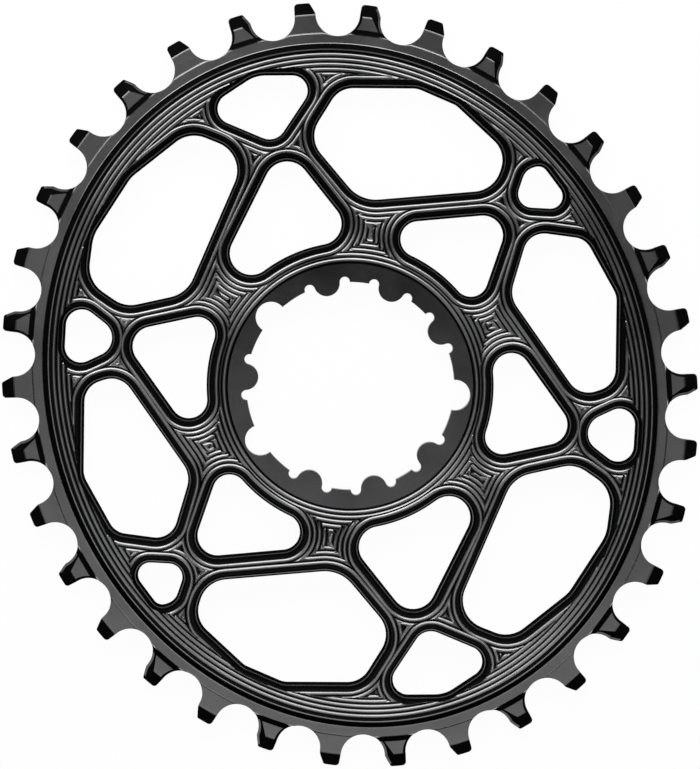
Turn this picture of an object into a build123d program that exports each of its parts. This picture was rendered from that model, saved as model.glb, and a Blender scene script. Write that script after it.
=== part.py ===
from build123d import *
import math
import os

# Oval narrow-wide chainring with a splined bore, machined from one aluminium plate.
# It lies on its back: the bore axis is Z, the long axis of the oval is Y, and the
# back of the tooth band is at Z = 0. Lengths are in millimetres, bearings in degrees
# counter-clockwise from X, seen from the front.

# Chain and teeth
tooth_count = 34
chain_pitch = 12.7
ovality = 1.125  # long axis over short axis of the pitch oval
seat_radius = 4.3  # valley that a roller drops into
seat_lift = 0.38  # centre of the valley, outside the pitch oval
tooth_tip = 2.95  # tip, outside the pitch oval
tip_lead = 1.05  # from the tooth's middle to the tip corner on its sloped flank
tip_trail = 1.95  # from the tooth's middle to the tip corner on its steep flank
tip_chamfer = 0.5  # on the tip corner of the steep flank

# Tooth band, and the thickness of wide and narrow teeth
band_thickness = 4.0
wide_thickness = 3.7
narrow_thickness = 2.1
shoulder_lift = 0.5  # foot of the tooth faces, outside the valley bottoms
narrow_slope = 0.7  # width of the slope at the foot of a narrow tooth
wide_bevel = 1.8  # height of the tip bevel
narrow_bevel = 1.4
bevel_angle = 24.0  # of the tip bevels, from the tooth face
facet_angle = 28.0  # of the guide facet in front of a narrow tooth's sloped flank
facet_lean = 22.0  # of the facet's inner edge, from the tooth's middle line
facet_edge = 0.6  # from the tooth's middle line to that edge, on the pitch oval

# Web
band_width = 1.3  # flat band between the valley bottoms and the web's outer slope
web_slope = 1.1  # plan width of that slope
web_back = 1.2  # back of the web and hub plate
web_edge_front = 5.6  # front of the web at its outer edge and round the hub plate
web_front = 5.8  # front of the web between those edges
edge_ledge = 0.5  # plan width of the ledge along both edges

# Windows
strut_width = 4.7
window_slope = 1.2  # plan width of the slope round each window
hub_ring = 28.1  # radius at which the windows stop

# Hub plate and splined bore
plate_front = 5.0
recess_radius = 23.9
recess_slope = 0.35  # plan width of the slope round the hub plate
bore_radius = 20.3
spline_places = 10
spline_bearing = -22.0
bolt_places = (0, 4, 6)
bolt_radius = 3.0
bolt_circle_radius = 20.5
lobe_radius = 2.55
lobe_circle_radius = 20.6
relief_radius = 1.0
relief_circle_radius = 20.35
relief_swing = 9.9  # bearing of a relief notch from its lobe

# Corners of the cells between the strut centre lines, for half of the ring: bearing,
# share of the way from the hub ring to the web's edge, and corner radius
side_cells = {
    "long_end_left": [
        (104.3, 0.877, 5.7),
        (119.5, 0.923, 0.0),
        (133.1, 0.947, 0.0),
        (143.3, 0.886, 5.9),
        (146.9, 0.565, 5.7),
        (135.2, 0.182, 6.3),
        (93.2, 0.559, 5.8),
    ],
    "long_end_right": [
        (76.2, 0.859, 4.8),
        (86.0, 0.556, 5.3),
        (71.3, 0.149, 6.9),
        (33.3, 0.579, 5.6),
        (37.4, 0.878, 5.1),
        (51.8, 0.939, 0.0),
        (60.3, 0.937, 0.0),
    ],
    "short_end": [
        (27.5, 0.587, 4.1),
        (13.7, 0.171, 5.0),
        (-23.4, 0.516, 4.4),
        (-18.7, 0.845, 4.2),
        (1.5, 0.970, 4.3),
        (16.0, 0.927, 3.9),
    ],
    "top_fork": [
        (90.0, 0.982, 6.5),
        (105.8, 0.930, 3.0),
        (90.1, 0.479, 3.3),
        (74.2, 0.927, 3.0),
    ],
    "upper_fork": [
        (33.1, 0.981, 2.0),
        (36.6, 0.810, 3.0),
        (31.9, 0.480, 2.7),
        (15.9, 0.983, 2.4),
    ],
    "lower_fork": [
        (-15.9, 0.992, 3.1),
        (-28.7, 0.365, 3.6),
        (-38.5, 1.013, 3.1),
    ],
}
# Cells that end on the hub ring: the tip, then the feet of the sides counter-clockwise
# and clockwise of it
hub_cells = {
    "top": [(87.7, 0.666, 4.4), (136.4, 0.217, 4.2), (68.2, 0.092, 4.1)],
    "upper": [(29.1, 0.702, 3.9), (78.0, 0.135, 3.5), (11.6, 0.111, 3.3)],
    "lower": [(-30.5, 0.703, 3.9), (18.4, 0.167, 3.6), (-48.7, 0.099, 3.4)],
}

fillet_share = 0.49  # most of a side that one corner's arc may take
overlap = 1.0  # how far a cutter reaches past what it cuts
solver_steps = 60


def polar(radius, bearing):
    angle = math.radians(bearing)
    return Vector(radius * math.cos(angle), radius * math.sin(angle))


# Pitch oval: the ellipse on which tooth_count chords of one chain pitch close


def oval_point(parameter, minor):
    return Vector(minor * math.cos(parameter), ovality * minor * math.sin(parameter))


def next_roller(parameter, minor):
    start = oval_point(parameter, minor)
    low = parameter
    high = parameter + math.pi / 2
    for _ in range(solver_steps):
        middle = (low + high) / 2
        if (oval_point(middle, minor) - start).length < chain_pitch:
            low = middle
        else:
            high = middle
    return low


def rollers(minor):
    places = [0.0]
    for _ in range(tooth_count):
        places.append(next_roller(places[-1], minor))
    return places


def pitch_minor():
    mean = tooth_count * chain_pitch / (2 * math.pi)
    low = mean / (2 * ovality)
    high = mean * 2
    for _ in range(solver_steps):
        middle = (low + high) / 2
        if rollers(middle)[-1] > 2 * math.pi:
            low = middle
        else:
            high = middle
    return low


short_axis = pitch_minor()
long_axis = short_axis * ovality
seats = [oval_point(place, short_axis) for place in rollers(short_axis)]
root_depth = seat_radius - seat_lift  # valley bottoms, inside the pitch oval


def oval(inside_root):
    return Ellipse(short_axis - root_depth - inside_root, long_axis - root_depth - inside_root)


def web_edge(bearing):
    short = short_axis - root_depth - band_width - web_slope
    long = long_axis - root_depth - band_width - web_slope
    angle = math.radians(bearing)
    return 1 / math.hypot(math.cos(angle) / short, math.sin(angle) / long)


# Teeth: each has its own frame, u along the chain and v outwards from the pitch line


class Tooth:
    def __init__(self, index):
        self.narrow = index % 2 == 0
        self.middle = (seats[index] + seats[index + 1]) / 2
        self.along = (seats[index + 1] - seats[index]).normalized()
        self.out = self.along.rotate(Axis.Z, -90)

    def place(self, u, v):
        return self.middle + self.along * u + self.out * v


def tooth_outline(teeth):
    waist = chain_pitch / 2 - seat_radius
    edges = []
    for index, tooth in enumerate(teeth):
        following = teeth[(index + 1) % tooth_count]
        crown = Polyline(
            tooth.place(-waist, seat_lift),
            tooth.place(-tip_lead, tooth_tip),
            tooth.place(tip_trail - tip_chamfer, tooth_tip),
            tooth.place(tip_trail, tooth_tip - tip_chamfer),
            tooth.place(waist, seat_lift),
        )
        seat = seats[index + 1]
        out = (tooth.out + following.out).normalized()
        valley = ThreePointArc(
            tooth.place(waist, seat_lift),
            seat - out * root_depth,
            following.place(-waist, seat_lift),
        )
        edges += [*crown.edges(), valley]
    return Face(Wire(edges))


def face_cutter(tooth):
    thickness = narrow_thickness if tooth.narrow else wide_thickness
    slope = narrow_slope if tooth.narrow else 0.0
    bevel = narrow_bevel if tooth.narrow else wide_bevel
    foot = shoulder_lift - root_depth
    past_tip = tooth_tip + overlap
    face = (band_thickness + thickness) / 2
    drop = (bevel + overlap) * math.tan(math.radians(bevel_angle))
    above = band_thickness + overlap
    front = [
        (foot, above),
        (foot, band_thickness),
        (foot + slope, face),
        (tooth_tip - bevel, face),
        (past_tip, face - drop),
        (past_tip, above),
    ]
    plane = Plane(origin=tooth.middle, x_dir=tooth.out, z_dir=-tooth.along)
    profile = make_face(Polyline(*front, close=True))
    back = [(v, band_thickness - z) for v, z in front]
    profile += make_face(Polyline(*back, close=True))
    return extrude(plane * profile, amount=chain_pitch / 2, both=True)


def facet_cutter(tooth):
    lean = math.radians(facet_lean)
    way = tooth.along * math.sin(lean) + tooth.out * math.cos(lean)
    side = tooth.out * math.sin(lean) - tooth.along * math.cos(lean)
    below = shoulder_lift + narrow_slope - root_depth
    foot = tooth.place(below * math.tan(lean) - facet_edge, below)
    face = narrow_thickness / 2
    reach = chain_pitch / 4
    drop = reach * math.tan(math.radians(facet_angle))
    wedge = [(0, -face), (reach, drop - face), (reach, -band_thickness), (0, -band_thickness)]
    plane = Plane(origin=foot + Vector(Z=band_thickness / 2), x_dir=side, z_dir=way)
    profile = make_face(Polyline(*wedge, close=True))
    return extrude(plane * profile, amount=tooth_tip - below + overlap)


def tooth_band():
    teeth = [Tooth(index) for index in range(tooth_count)]
    band = extrude(tooth_outline(teeth), band_thickness)
    band -= [face_cutter(tooth) for tooth in teeth]
    return band - [facet_cutter(tooth) for tooth in teeth if tooth.narrow]


# Windows


def cell_corner(bearing, share):
    radius = hub_ring + share * (web_edge(bearing) - hub_ring)
    return polar(radius, bearing)


def inset(corners, amount):
    moved = []
    for index, corner in enumerate(corners):
        before = (corner - corners[index - 1]).normalized().rotate(Axis.Z, 90)
        after = (corners[(index + 1) % len(corners)] - corner).normalized().rotate(Axis.Z, 90)
        moved.append(corner + (before + after) * (amount / (1 + before.dot(after))))
    return moved


def side_window(rows):
    corners = inset([cell_corner(bearing, share) for bearing, share, _ in rows], strut_width / 2)
    radii = []
    for index, (_, _, radius) in enumerate(rows):
        to_last = corners[index - 1] - corners[index]
        to_next = corners[(index + 1) % len(corners)] - corners[index]
        half_angle = math.radians(to_last.get_angle(to_next)) / 2
        most = fillet_share * min(to_last.length, to_next.length) * math.tan(half_angle)
        radii.append(min(radius, most))
    return make_face(FilletPolyline(*corners, radius=radii, close=True))


def foot_arc(tip, foot, inwards, radius):
    """Arc that leaves a straight side and runs onto the hub ring: its centre and two ends."""
    way = (tip - foot).normalized()
    start = foot + inwards * radius
    along = start.dot(way)
    reach = math.sqrt(along**2 - start.dot(start) + (hub_ring + radius) ** 2)
    centre = start + way * (reach - along)
    return centre, centre - inwards * radius, centre * (hub_ring / (hub_ring + radius))


def arc_about(centre, start, end):
    radius = (start - centre).length
    middle = ((start + end) / 2 - centre).normalized() * radius
    return ThreePointArc(start, centre + middle, end)


def hub_window(rows):
    corners = inset([cell_corner(bearing, share) for bearing, share, _ in rows], strut_width / 2)
    tip_radius, left_radius, right_radius = [radius for _, _, radius in rows]
    tip, left, right = corners
    to_left = (left - tip).normalized()
    to_right = (right - tip).normalized()
    half_angle = math.radians(to_left.get_angle(to_right)) / 2
    tip_centre = tip + (to_left + to_right).normalized() * (tip_radius / math.sin(half_angle))
    reach = tip_radius / math.tan(half_angle)
    left_foot = foot_arc(tip, left, to_left.rotate(Axis.Z, 90), left_radius)
    right_foot = foot_arc(tip, right, to_right.rotate(Axis.Z, -90), right_radius)
    edges = [
        Line(right_foot[1], tip + to_right * reach),
        arc_about(tip_centre, tip + to_right * reach, tip + to_left * reach),
        Line(tip + to_left * reach, left_foot[1]),
        arc_about(left_foot[0], left_foot[1], left_foot[2]),
        arc_about(Vector(), left_foot[2], right_foot[2]),
        arc_about(right_foot[0], right_foot[2], right_foot[1]),
    ]
    return Face(Wire(edges))


half_windows = [side_window(rows) for rows in side_cells.values()]
half_windows += [hub_window(rows) for rows in hub_cells.values()]
windows = [Rot(Z=turn) * window for turn in (0, 180) for window in half_windows]


def window_cutter(window):
    depth = web_front - web_back
    taper = math.degrees(math.atan(window_slope / depth))
    return extrude(Pos(Z=web_back) * window, depth, taper=-taper)


# Hub


def splined_bore():
    outline = Circle(bore_radius)
    step = 360 / spline_places
    lobes = [place for place in range(spline_places) if place not in bolt_places]
    for place in bolt_places:
        outline += Pos(polar(bolt_circle_radius, spline_bearing + place * step)) * Circle(bolt_radius)
    for place in lobes:
        for swing in (-relief_swing, relief_swing):
            bearing = spline_bearing + place * step + swing
            outline += Pos(polar(relief_circle_radius, bearing)) * Circle(relief_radius)
    for place in lobes:
        outline -= Pos(polar(lobe_circle_radius, spline_bearing + place * step)) * Circle(lobe_radius)
    return outline


# The whole ring


def oval_slope(low, high, inside_low, inside_high):
    """Solid between two levels whose oval side leans in or out."""
    return loft([Pos(Z=low) * oval(inside_low), Pos(Z=high) * oval(inside_high)], ruled=True)


def raised_front():
    outer = oval(band_width + web_slope + edge_ledge)
    inner = Circle(recess_radius + recess_slope + edge_ledge)
    return extrude(Pos(Z=web_edge_front) * (outer - inner), web_front - web_edge_front)


def hub_recess():
    recess = Pos(Z=plate_front) * Circle(recess_radius)
    rim = Pos(Z=web_edge_front) * Circle(recess_radius + recess_slope)
    return loft([recess, rim], ruled=True)


def chainring():
    ring = tooth_band()
    ring += oval_slope(band_thickness, web_edge_front, band_width, band_width + web_slope)
    ring -= oval_slope(0, web_back, band_width, band_width + web_slope)
    ring -= hub_recess()
    ring += raised_front()
    ring -= extrude(splined_bore(), web_front)
    return ring - [window_cutter(window) for window in windows]


os.makedirs("parts", exist_ok=True)
export_step(chainring(), "parts/chainring.step")
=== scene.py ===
import math

import bmesh
import bpy
import numpy as np
from mathutils import Matrix, Vector
from mathutils.geometry import delaunay_2d_cdt


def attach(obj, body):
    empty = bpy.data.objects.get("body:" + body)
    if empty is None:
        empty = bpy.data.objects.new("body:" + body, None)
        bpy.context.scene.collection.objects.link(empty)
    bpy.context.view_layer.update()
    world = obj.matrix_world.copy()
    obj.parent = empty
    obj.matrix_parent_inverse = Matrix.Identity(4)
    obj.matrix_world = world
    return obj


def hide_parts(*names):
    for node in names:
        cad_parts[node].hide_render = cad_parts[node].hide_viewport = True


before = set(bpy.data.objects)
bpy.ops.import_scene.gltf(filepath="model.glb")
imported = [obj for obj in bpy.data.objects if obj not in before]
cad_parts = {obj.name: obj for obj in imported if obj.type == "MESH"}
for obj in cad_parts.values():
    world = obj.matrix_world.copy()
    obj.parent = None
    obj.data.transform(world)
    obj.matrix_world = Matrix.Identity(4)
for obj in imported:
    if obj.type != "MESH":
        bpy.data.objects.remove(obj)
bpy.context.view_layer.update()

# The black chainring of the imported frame, built again as one fine mesh with its
# contour ridges. Lengths are millimetres until the mesh is written in metres.
print("frame:", sorted(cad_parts))
millimetre = 0.001
halvings = 45
satin, ridgedSheenAndGrooveShade, paintedShadeSlope, turnedPaintedShade, paintedHighlight = 0, 1, 2, 3, 4  # finishes, in the order of the material slots; all but satin paint light or shade onto the same anodised metal

pointBlocks, quadBlocks, triangleBlocks = [], [], []
quadFinishes, triangleFinishes = [], []


# Number that the next block's first point gets.
def nextPoint():
    return sum(len(block) for block in pointBlocks)


# Grid of points to quads: each cell between two rows and two columns is one face. The
# finish is one number, a column with one for each row of cells, or one for each cell.
def addGrid(grid, finish, closed=False):
    rows, columns = grid.shape[:2]
    numbers = nextPoint() + np.arange(rows * columns).reshape(rows, columns)
    if closed:
        numbers = np.concatenate([numbers, numbers[:, :1]], axis=1)
    corners = [numbers[:-1, :-1], numbers[:-1, 1:], numbers[1:, 1:], numbers[1:, :-1]]
    quads = np.stack(corners, axis=-1)
    pointBlocks.append(grid.reshape(-1, 3))
    quadBlocks.append(quads.reshape(-1, 4))
    quadFinishes.append(np.broadcast_to(finish, quads.shape[:2]).ravel())


# Flat points to 3-D points at one height, or at a height for each.
def lift(flat, height):
    heights = np.broadcast_to(np.asarray(height, float), flat.shape[:-1])
    return np.concatenate([flat, heights[..., None]], axis=-1)


# Unit vectors at angles given in radians.
def spokes(angle):
    return np.stack([np.cos(angle), np.sin(angle)], axis=-1)


# Vectors over their lengths.
def unit(vector):
    return vector / np.hypot(vector[..., 0], vector[..., 1])[..., None]


# Vectors turned a quarter turn to the left.
def leftOf(vector):
    return np.stack([-vector[..., 1], vector[..., 0]], axis=-1)


# Cross product of flat vectors: first x times second y, less first y times second x.
def crossed(first, second):
    return first[..., 0] * second[..., 1] - first[..., 1] * second[..., 0]


# Angle of a vector from the x axis.
def bearingOf(vector):
    return math.atan2(vector[1], vector[0])


# End angle in the turn that follows the start angle.
def turnTo(start, end):
    return start + (end - start) % (2 * math.pi)


# Largest value for which a test holds that fails from some value on, by halving the range.
def lastHolding(low, high, holds):
    for _ in range(halvings):
        middle = (low + high) / 2
        if holds(middle):
            low = middle
        else:
            high = middle
    return low


# Pitch oval, teeth and the flat band that carries them
teeth = {
    "count": 34,
    "pitch": 12.7,
    "ovality": 1.125,
    "minorRange": (50.0, 80.0),  # half of the oval's short axis is between these
    "placeStep": 0.5,  # more than one pitch along the oval
    "seatRadius": 4.3,
    "seatLift": 0.38,
    "tip": 2.95,
    "leanFoot": 0.95,  # height at which the sloped flank starts to lean
    "leanTip": 1.02,
    "steepTip": 1.98,
    "kneeRound": 1.1,
    "kneeSet": 0.02,  # how far the knee stands inside the waist
    "leanRound": 0.35,
    "steepRound": 0.75,
    "bandFront": 4.0,
    "bandWidth": 1.3,
    # height of each row of the shoulder, and its share of the drop
    "shoulder": [(0.38, 0.0), (0.44, 0.1), (0.51, 0.36), (0.58, 0.8), (0.64, 1.0)],
    "wideFront": 3.86,
    "narrowFront": 3.05,
    "narrowFoot": (1.52, 1.65),  # end of the slope at a narrow tooth's foot, and of its fillet
    "narrowDrops": (0.12, 0.89),  # of a narrow tooth's shoulder, and at the end of that slope
    "wideBevel": 2.45,
    "narrowBevel": 2.6,
    "bevelRound": 0.2,
    "bevelAngle": math.radians(21),
    "blackTip": 0.5,  # height of the tip on which the flank's strip is black too
    "facetDepth": 0.85,
    "facetLean": math.radians(32),
    "facetEdge": 0.62,
    "facetLeast": 0.3,  # least width over which the facet falls
    "facetStep": 3.0,  # fall of the step from the band to the facet, for each height
    "facetRoom": (0.6, 0.8),  # least room from each flank to the facet edge's column
    "flankLand": 0.48,  # level strip along a narrow tooth's sloped flank
    "steepChamfer": 0.55,
    "chamferFall": 0.9,
    "chamferFoot": (0.7, 1.2),  # heights between which the chamfer sets in
    "edgeBreak": 0.08,
    "breakFoot": 0.3,  # height over which the broken edge sets in
    "columns": (0, 1, 6, 11, 14, 15),  # column on each stop across a tooth
    "gather": 1.05,  # height at which the columns have reached their stops
    "wideStop": 0.45,  # middle stop of a wide tooth, as a share of its width
    # heights of the rows in the valley and on the face, then depths below the top
    "valleyRows": (-0.85, -0.35, 0.0, 0.03, 0.12, 0.25),
    "wideRows": (0.9, 1.3),
    "narrowRows": (0.85, 1.1),
    "faceRows": (2.0, 0.4, 5),  # even rows: first height, gap below the bevel, count
    "bendRows": (-1.0, -0.4, 0.3, 1.0),  # about the bevel's start, times its rounding
    "slopeRows": (0.3, 0.55, 3),  # even rows: gap above the bend, depth below the top, count
    "tipRows": (0.35, 0.2, 0.08, 0.0),
    "arcPoints": 48,
    "wallRows": 3,
}
rootDepth = teeth["seatRadius"] - teeth["seatLift"]
waistPoint = (teeth["pitch"] / 2 - teeth["seatRadius"], teeth["seatLift"])


# Point of the pitch oval: half axes times the cosine and sine of its place.
def ovalPoint(place, minor):
    return minor * math.cos(place), teeth["ovality"] * minor * math.sin(place)


# Place on the oval whose chord from the last place is one chain pitch.
def nextRoller(place, minor):
    start = ovalPoint(place, minor)

    def near(other):
        return math.dist(start, ovalPoint(other, minor)) < teeth["pitch"]

    return lastHolding(place, place + teeth["placeStep"], near)


# Places of all the rollers, from the first round to it again.
def rollerPlaces(minor):
    places = [0.0]
    for _ in range(teeth["count"]):
        places.append(nextRoller(places[-1], minor))
    return np.array(places)


# Whether the chain runs past a whole turn, as it does on an oval that is too small.
def overlaps(minor):
    return rollerPlaces(minor)[-1] > 2 * math.pi


minorAxis = lastHolding(*teeth["minorRange"], overlaps)
majorAxis = minorAxis * teeth["ovality"]
places = rollerPlaces(minorAxis)[:-1]
seats = np.stack([minorAxis * np.cos(places), majorAxis * np.sin(places)], axis=1)
nextSeats = np.roll(seats, -1, axis=0)
middles = (seats + nextSeats) / 2
alongs = (nextSeats - seats) / teeth["pitch"]
outs = -leftOf(alongs)
turns = np.arccos(np.clip((outs * np.roll(outs, -1, axis=0)).sum(axis=1), -1, 1)) / 2
print("pitch oval:", round(2 * minorAxis, 2), "x", round(2 * majorAxis, 2))


# Half axes of the oval that lies a given depth inside the valley bottoms.
def rootAxes(inside):
    return minorAxis - rootDepth - inside, majorAxis - rootDepth - inside


# Points of that oval: half axes times the cosine and sine of the angle.
def rootOval(inside, angle):
    short, long = rootAxes(inside)
    return np.stack([short * np.cos(angle), long * np.sin(angle)], axis=-1)


# Arc of a rounded corner between two straight runs of a flank.
def roundCorner(before, corner, after, radius, count=9):
    before, corner, after = (np.array(point, float) for point in (before, corner, after))
    first, last = unit(before - corner), unit(after - corner)
    half = math.acos(np.clip(first @ last, -1, 1)) / 2
    centre = corner + unit(first + last) * radius / math.sin(half)
    start = corner + first * radius / math.tan(half) - centre
    end = corner + last * radius / math.tan(half) - centre
    sweep = math.atan2(crossed(start, end), start @ end)
    return centre + radius * spokes(bearingOf(start) + np.linspace(0, sweep, count))


# Outline of half a tooth from the valley bottom to the tip: a roller arc whose centre is on
# the line that halves the turn to the next tooth, then the flank with its rounded corners.
def halfOutline(turn, flank):
    waist = np.array(waistPoint)
    halving = np.array([math.sin(turn), math.cos(turn)])
    seat = np.array([teeth["pitch"] / 2, 0.0])
    reach = waist - seat
    raised = (reach @ reach - rootDepth**2) / (2 * rootDepth + 2 * reach @ halving)
    centre = seat + halving * raised
    start, end = bearingOf(-halving), bearingOf(waist - centre)
    sweep = (end - start + math.pi) % (2 * math.pi) - math.pi
    arc = centre + (raised + rootDepth) * spokes(start + np.linspace(0, sweep, teeth["arcPoints"]))
    return np.concatenate([arc, flank[1:]])


leanKnee = (waistPoint[0] - teeth["kneeSet"], teeth["leanFoot"])
leanCorner = (teeth["leanTip"], teeth["tip"])
steepCorner = (teeth["steepTip"], teeth["tip"])
leanFlank = np.concatenate([
    [waistPoint],
    roundCorner(waistPoint, leanKnee, leanCorner, teeth["kneeRound"]),
    roundCorner(leanKnee, leanCorner, (0.0, teeth["tip"]), teeth["leanRound"]),
])
steepFlank = np.concatenate([
    [waistPoint],
    roundCorner(waistPoint, steepCorner, (0.0, teeth["tip"]), teeth["steepRound"]),
])


# Heights of a tooth's rows above the valley bottoms, closer where its face bends.
def toothRows(narrow, top):
    bevel = top - teeth["narrowBevel" if narrow else "wideBevel"]
    foot = [-teeth["bandWidth"], *teeth["valleyRows"], *[height for height, _ in teeth["shoulder"]]]
    face = [*teeth["narrowRows"], *teeth["narrowFoot"]] if narrow else teeth["wideRows"]
    faceStart, faceGap, faceCount = teeth["faceRows"]
    slopeGap, slopeEnd, slopeCount = teeth["slopeRows"]
    bend = bevel + teeth["bevelRound"] * np.array(teeth["bendRows"])
    return np.concatenate([
        foot,
        face,
        np.linspace(faceStart, bevel - faceGap, faceCount),
        bend,
        np.linspace(bend[-1] + slopeGap, top - slopeEnd, slopeCount),
        top - np.array(teeth["tipRows"]),
    ])


# Front of a tooth over its height and width: band, shoulder, face, bevel at the tip, and on
# a narrow tooth the foot slope, the leaning guide facet and the chamfer of the steep flank.
def toothFront(narrow, height, u, v, left, right, top, dressed):
    stepHeights, stepShares = np.array(teeth["shoulder"]).T
    face = teeth["narrowFront" if narrow else "wideFront"]
    bevel = top - teeth["narrowBevel" if narrow else "wideBevel"]
    past, soft = height - bevel, teeth["bevelRound"]
    drop = np.where(past > soft, past, np.clip(past + soft, 0, None) ** 2 / (4 * soft))
    front = face - math.tan(teeth["bevelAngle"]) * drop
    whole = teeth["bandFront"] - face
    footHeights, drops = stepHeights, stepShares * whole
    if narrow:
        shoulderDrop, slopeDrop = teeth["narrowDrops"]
        footHeights = [*stepHeights, *teeth["narrowFoot"]]
        drops = np.append(stepShares * shoulderDrop, [slopeDrop, whole])
    foot = teeth["bandFront"] - np.interp(height, footHeights, drops)
    front = np.where(height <= teeth["narrowFoot"][1], foot, front)
    nearest = np.minimum(u - left, right - u)
    if narrow and dressed:
        edge = v * math.tan(teeth["facetLean"]) - teeth["facetEdge"]
        wide = np.maximum(edge - left - teeth["flankLand"], teeth["facetLeast"])
        facet = face - teeth["facetDepth"] * np.clip((edge - u) / wide, 0, 1)
        step = teeth["bandFront"] - np.clip(height - stepHeights[0], 0, None) * teeth["facetStep"]
        cut = np.maximum(np.minimum(front, facet), np.minimum(front, step))
        front = np.where(height > stepHeights[0], cut, front)
        chamferStart, chamferFull = teeth["chamferFoot"]
        setIn = np.clip((height - chamferStart) / (chamferFull - chamferStart), 0, 1)
        front = front - teeth["chamferFall"] * np.clip(u - right + teeth["steepChamfer"], 0, None) * setIn
        nearest = right - u
    setIn = np.clip(height / teeth["breakFoot"], 0, 1)
    return front - np.clip(teeth["edgeBreak"] - nearest, 0, None) * setIn


# Finish of a tooth's cells by height and column: near-black painted shade on the tip bevel and,
# on a narrow tooth, on the foot slope, the guide facet and the chamfer of the steep flank. The
# strip along its sloped flank keeps the face's finish almost to the tip. The shoulder gets the
# lighter colour of a painted highlight line, but for the end columns.
def toothFinish(narrow, height, top):
    middle = (height[1:, None] + height[:-1, None]) / 2
    column = np.arange(teeth["columns"][-1])
    bevel = top - teeth["narrowBevel" if narrow else "wideBevel"]
    low, high = teeth["shoulder"][0][0], teeth["shoulder"][-1][0]
    black = np.broadcast_to(middle > bevel + teeth["bevelRound"], (len(middle), len(column)))
    if narrow:
        _, facetStart, facetEnd, chamferStart, chamferEnd, _ = teeth["columns"]
        above = middle > high
        black = black & ((column >= facetStart) | (middle > top - teeth["blackTip"]))
        black = black | (above & (middle < teeth["narrowFoot"][0]))
        black = black | (above & (column >= facetStart) & (column < facetEnd))
        black = black | (above & (column >= chamferStart) & (column < chamferEnd))
    shoulder = (middle > low) & (middle < high) & (column > 0) & (column < column[-1])
    return np.where(black, paintedShadeSlope, np.where(shoulder, paintedHighlight, satin))


# One tooth in its own frame: rows keep one height over the curved valley line, columns
# gather at the facet edge and flanks. Gives the points in the ring's plan, their front and
# back heights, the heights of the rows and the finish of each cell.
def toothGrids(index):
    narrow = index % 2 == 0
    turnLeft, turnRight = turns[index - 1], turns[index]
    rightSide = halfOutline(turnRight, steepFlank)
    leftSide = halfOutline(turnLeft, leanFlank) * [-1, 1]
    start, end = leftSide[0], rightSide[0]
    bend = (math.tan(turnLeft) + math.tan(turnRight)) / (end[0] - start[0])

    def valleyLine(u):
        share = (u - start[0]) / (end[0] - start[0])
        return start[1] + share * (end[1] - start[1]) + bend / 2 * (u - start[0]) * (end[0] - u)

    leftHeights = np.maximum.accumulate(leftSide[:, 1] - valleyLine(leftSide[:, 0]))
    rightHeights = np.maximum.accumulate(rightSide[:, 1] - valleyLine(rightSide[:, 0]))
    top = min(leftHeights[-1], rightHeights[-1])
    height = toothRows(narrow, top)
    deep = rootDepth - np.minimum(height, 0)
    left = np.where(height < 0, deep * math.sin(turnLeft) - teeth["pitch"] / 2,
                    np.interp(height, leftHeights, leftSide[:, 0]))
    right = np.where(height < 0, teeth["pitch"] / 2 - deep * math.sin(turnRight),
                     np.interp(height, rightHeights, rightSide[:, 0]))
    even = left[:, None] + (right - left)[:, None] * np.linspace(0, 1, teeth["columns"][-1] + 1)
    edge = (height + valleyLine(0.0)) * math.tan(teeth["facetLean"]) - teeth["facetEdge"]
    if not narrow:
        edge = left + teeth["wideStop"] * (right - left)
    leanRoom, steepRoom = teeth["facetRoom"]
    edge = np.clip(edge, left + leanRoom, right - steepRoom)
    strip = teeth["flankLand"] if narrow else teeth["edgeBreak"]
    stops = np.stack([left, left + strip, edge, right - teeth["steepChamfer"],
                      right - teeth["edgeBreak"], right], axis=1)
    marks = np.array(teeth["columns"])
    column = np.arange(marks[-1] + 1)
    cell = np.clip(np.searchsorted(marks, column, side="right") - 1, 0, len(marks) - 2)
    share = (column - marks[cell]) / (marks[cell + 1] - marks[cell])
    drawn = stops[:, cell] * (1 - share) + stops[:, cell + 1] * share
    mix = np.clip(height / teeth["gather"], 0, 1)[:, None]
    u = even * (1 - mix) + drawn * mix
    heights = np.broadcast_to(height[:, None], u.shape)
    v = heights + valleyLine(u)
    flat = middles[index] + u[..., None] * alongs[index] + v[..., None] * outs[index]
    spots = (narrow, heights, u, v, left[:, None], right[:, None], top)
    front = toothFront(*spots, True)
    back = teeth["bandFront"] - toothFront(*spots, False)
    return flat, front, back, height, toothFinish(narrow, height, top)


# All teeth: the rows up to the valley bottom end on the same points as the next tooth's.
outlineFront, outlineBack, bandEdge = [], [], []
bandShort, bandLong = rootAxes(teeth["bandWidth"])
for index in range(teeth["count"]):
    flat, front, back, height, finish = toothGrids(index)
    root = int(np.argmin(np.abs(height)))
    shared = slice(root + 1)
    angle = np.arctan2(flat[0, :, 1] / bandLong, flat[0, :, 0] / bandShort)
    flat[0] = rootOval(teeth["bandWidth"], angle)
    if index:
        flat[shared, 0] = lastEdge
    else:
        firstEdge = flat[shared, 0].copy()
    if index == teeth["count"] - 1:
        flat[shared, -1] = firstEdge
    lastEdge = flat[shared, -1].copy()
    bandEdge.append(flat[0, :-1])
    frontGrid, backGrid = lift(flat, front), lift(flat, back)
    addGrid(frontGrid, finish)
    addGrid(backGrid, satin)
    for grid, outline in ((frontGrid, outlineFront), (backGrid, outlineBack)):
        outline += [grid[root:-1, 0], grid[-1, :-1], grid[root + 1:, -1][::-1]]
outlineFront, outlineBack = np.concatenate(outlineFront), np.concatenate(outlineBack)
share = np.linspace(0, 1, teeth["wallRows"])[:, None, None]
addGrid(outlineFront * (1 - share) + outlineBack * share, satin, closed=True)
bandEdge = np.concatenate(bandEdge)
print("teeth:", teeth["count"], "points on the band's edge:", len(bandEdge))

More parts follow.
